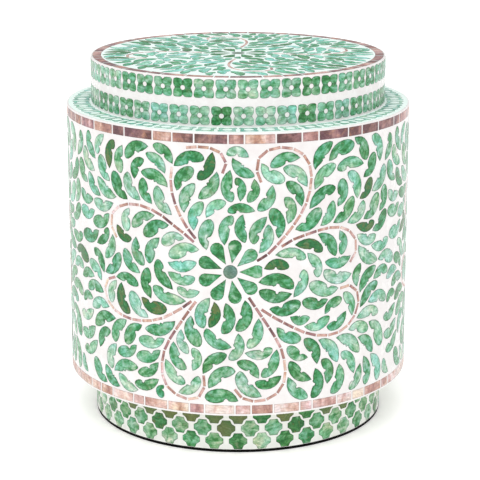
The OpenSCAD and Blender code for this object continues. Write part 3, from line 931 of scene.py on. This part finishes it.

# Neck tiles: two rows of four-lobed green tiles cut by hand, each drilled through the middle, with
# a crease from each notch to the hole, only painted shade on the flat tile. They are bedded on the
# neck wall and ground to its round.

# A quarter of the outline of a tile of half-size 1, from the notch above to just short of the notch
# at the right, and that notch
neck_quarter = [
    (0.00, 0.75), (0.07, 0.84), (0.18, 0.94), (0.38, 1.00), (0.60, 1.00), (0.82, 0.98), (0.94, 0.90),
    (1.00, 0.73), (0.99, 0.48), (0.95, 0.28), (0.87, 0.11),
]
neck_side_notch = (0.82, 0.0)
neck_uneven = 0.015
neck_tile_w = 22.4
neck_tile_h = 20.8
neck_hole_r = 2.7
neck_depth = 2.0 * mm
neck_rim = 0.7
crease_half_w = 0.5
# Painted shade along the creases of the flat tiles, as a share of the rim's darkening
crease_shade = 0.6
neck_count = 45
neck_set_back = 28.5 * mm
neck_r = drum_r - neck_set_back
neck_cuts = 3


def neck_outline(chance):
    """The whole outline of a tile in millimetres, clockwise from the notch above."""
    points = []
    for turn in range(4):
        quarter = neck_quarter
        if turn % 2:
            quarter = [neck_side_notch] + neck_quarter[:0:-1]
        side_x, side_y = [(1, 1), (1, -1), (-1, -1), (-1, 1)][turn]
        for x, y in quarter:
            x += chance.uniform(-neck_uneven, neck_uneven)
            y += chance.uniform(-neck_uneven, neck_uneven)
            points.append((side_x * x * neck_tile_w / 2, side_y * y * neck_tile_h / 2))
    return points


def neck_blank(outline):
    """A flat tile with a hole and a marked rim, and painted shade along creases across it."""
    bpy.ops.object.select_all(action="DESELECT")
    bpy.ops.mesh.primitive_circle_add(vertices=len(outline), radius=1.0)
    blank = bpy.context.active_object
    bpy.ops.object.mode_set(mode="EDIT")
    bpy.ops.mesh.primitive_circle_add(vertices=len(outline), radius=0.5)
    bpy.ops.object.mode_set(mode="OBJECT")
    corners = blank.data.vertices
    for i, (x, y) in enumerate(outline):
        corners[i].co = (x, y, 0)
        shrink = neck_hole_r / math.hypot(x, y)
        corners[i + len(outline)].co = (x * shrink, y * shrink, 0)
    bpy.ops.object.mode_set(mode="EDIT")
    bpy.ops.mesh.select_all(action="SELECT")
    bpy.ops.mesh.bridge_edge_loops()
    bpy.ops.mesh.select_all(action="SELECT")
    bpy.ops.mesh.extrude_region_move(TRANSFORM_OT_translate={"value": (0, 0, neck_depth)})
    bpy.ops.mesh.inset(thickness=neck_rim, depth=0.0, use_even_offset=True)
    bpy.ops.object.mode_set(mode="OBJECT")
    mesh = blank.data
    inside = {i for face in mesh.polygons if face.select for i in face.vertices}
    rim = mesh.attributes.new("rim", "FLOAT", "POINT")
    for corner in mesh.vertices:
        on_crease = min(abs(corner.co.x), abs(corner.co.y)) < crease_half_w
        shade = crease_shade if on_crease else 0.0
        rim.data[corner.index].value = shade if corner.index in inside else 1.0
    bpy.ops.object.mode_set(mode="EDIT")
    bpy.ops.mesh.select_all(action="SELECT")
    bpy.ops.mesh.normals_make_consistent(inside=False)
    bpy.ops.object.mode_set(mode="OBJECT")
    return blank


def neck_tones(chance):
    return chance.choice([0.42, 0.48, 0.5, 0.54, 0.58, 0.6, 0.64, 0.7, 0.76])


neck_chance = random.Random(61)
neck_blanks = [neck_blank(neck_outline(neck_chance)) for _ in range(neck_cuts)]
for row, row_turn in [("lower", 0.0), ("upper", 0.2)]:
    node = "neck_" + row + "_flowers"
    row_low, row_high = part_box(node)
    tiles = []
    for number in range(neck_count):
        half_turn = Matrix.Rotation(math.pi * neck_chance.randrange(2), 4, "Z")
        tile = laid(neck_chance, neck_chance.choice(neck_blanks), half_turn, neck_tones(neck_chance), mm)
        front = math.radians((number + row_turn) * 360 / neck_count)
        tiles.append(wrapped(tile, neck_r, neck_depth, front, (row_low.z + row_high.z) / 2))
    flowers = joined(tiles, "neck_tiles_" + row)
    flowers.data.materials.append(green_shell)
    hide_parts(node)
    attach(flowers, "root")
for blank in neck_blanks:
    bpy.data.objects.remove(blank)

# Top: a border of pink tiles round the rim, and a dark disc with eight petals and four stems. The
# same shells as on the walls, rubbed down duller, and the green dyed a little bluer.
top_green_colours = dyed(green_colours, 0.76, 1.18, 1.25)
top_green = shell_finish("top_green_shell", top_green_colours, green_blush, green_scale, gloss=dull)
top_pink = shell_finish("top_pink_shell", pink_colours, pink_blush, pink_scale, gloss=dull, **pink_ways)
top_grey = shell_finish("top_grey_shell", grey_colours, green_blush, grey_scale, gloss=dull)


def top_border_tones(chance, middle):
    return chance.uniform(0.05, 0.65)


def top_petal_tones(chance, middle):
    return chance.uniform(0.16, 0.34)


def top_stem_tones(chance, middle):
    return chance.uniform(0.4, 0.9)


top_border_tiles = tiles_of("top_border", "top_border_tiles", 71, top_border_tones, on_wall=False)
top_petal_tiles = tiles_of("top_petals", "top_petal_tiles", 72, top_petal_tones, on_wall=False)
top_disc_tile = tiles_of("top_disc", "top_disc_tile", 73, disc_tones, on_wall=False)
top_stem_strips = tiles_of(
    "top_stems", "top_stem_strips", 74, top_stem_tones, on_wall=False, rim=strip_rim)
for tiles, finish, slot in [
    (top_border_tiles, top_pink, "pink_shell"), (top_petal_tiles, top_green, "green_shell"),
    (top_disc_tile, top_grey, "grey_shell"), (top_stem_strips, top_pink, "pink_shell"),
]:
    tiles.data.materials.append(finish)
    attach(tiles, "root")

# Leaves of the top: laid as on the drum, wherever a leaf fits between the stems, the flower and
# the border, leaning along the stem beside it, large leaves first.
top_z = cad_box[1].z


def on_top_face(point):
    return point.z > top_z - face_band


def top_sheet(point):
    return point.x / mm, point.y / mm


top_obstacles = np.array([
    point for tiles in (top_stem_strips, top_petal_tiles, top_disc_tile, top_border_tiles)
    for point in edge_points(tiles, on_top_face, top_sheet)
])
stem_course = np.array(edge_points(top_stem_strips, on_top_face, top_sheet))
top_field_r = np.hypot(*np.array(edge_points(top_border_tiles, on_top_face, top_sheet)).T).min()
top_chance = random.Random(81)
top_petal_count = 8
petal_leaf_tip_r = 23.5
petal_leaf_end_r = 39.5
top_leaf_tries = [(34, 1200), (29, 1500), (24, 1500), (19, 1500)]
top_leaf_lean = math.radians(40)
top_leaf_sway = 0.3
spot_margin = 4
border_margin = 1
try_size = 0.8
least_gap = 1.0
top_places = []
top_taken = [top_obstacles]
for number in range(top_petal_count):
    turn = 2 * math.pi * number / top_petal_count
    x = math.cos(turn)
    y = math.sin(turn)
    place = (
        (x * petal_leaf_tip_r, y * petal_leaf_tip_r), (x * petal_leaf_end_r, y * petal_leaf_end_r),
        top_chance.choice([-1, 1]), top_chance.randrange(len(leaf_outlines)),
    )
    middle, shape = leaf_points(*place)
    top_places.append(place)
    top_taken.append(middle + shape)
for length, tries in top_leaf_tries:
    for _ in range(tries):
        reach = (top_field_r - spot_margin) * math.sqrt(top_chance.random())
        around = top_chance.uniform(0, 2 * math.pi)
        spot = np.array([reach * math.cos(around), reach * math.sin(around)])
        beside = stem_course[np.hypot(*(stem_course - spot).T).argmin()]
        away = math.atan2(*(spot - beside)[::-1])
        outwards = math.atan2(*beside[::-1])
        side = 1 if math.sin(away - outwards) > 0 else -1
        lean = away - side * top_leaf_lean + top_chance.uniform(-top_leaf_sway, top_leaf_sway)
        half_x = math.cos(lean) * length / 2
        half_y = math.sin(lean) * length / 2
        place = (
            (spot[0] + half_x, spot[1] + half_y), (spot[0] - half_x, spot[1] - half_y),
            top_chance.choice([-1, 1]), top_chance.randrange(len(leaf_outlines)),
        )
        middle, shape = leaf_points(*place)
        own = middle + try_size * shape
        if np.hypot(*own.T).max() > top_field_r - border_margin:
            continue
        taken = np.vstack(top_taken)
        taken = taken[np.hypot(*(taken - middle).T) < length]
        if len(taken) and ((own[:, None, :] - taken[None, :, :]) ** 2).sum(axis=2).min() < least_gap ** 2:
            continue
        top_places.append(place)
        top_taken.append(own)
top_places, top_sizes = settled(top_places, top_obstacles, None, joint=1.4, most=1.4)
top_leaves = []
for place, size in zip(top_places, top_sizes):
    # Painted shade: the top's leaves are toned a little darker, against the sheen of the room on the flat
    # top.
    leaf = laid_leaf(top_chance, *place, size, darker=0.01)
    for corner in leaf.data.vertices:
        corner.co = (corner.co.x * mm, corner.co.y * mm, top_z - leaf_depth + corner.co.z)
    top_leaves.append(leaf)
top_leaf_count = len(top_leaves)
top_leaf_tiles = joined(top_leaves, "top_leaves")
top_leaf_tiles.data.materials.append(top_green)
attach(top_leaf_tiles, "root")
for blank in leaf_blanks:
    bpy.data.objects.remove(blank)

# How many leaves were laid on the drum and on the top
print("leaves:", drum_leaf_count, "on the drum,", top_leaf_count, "on the top")
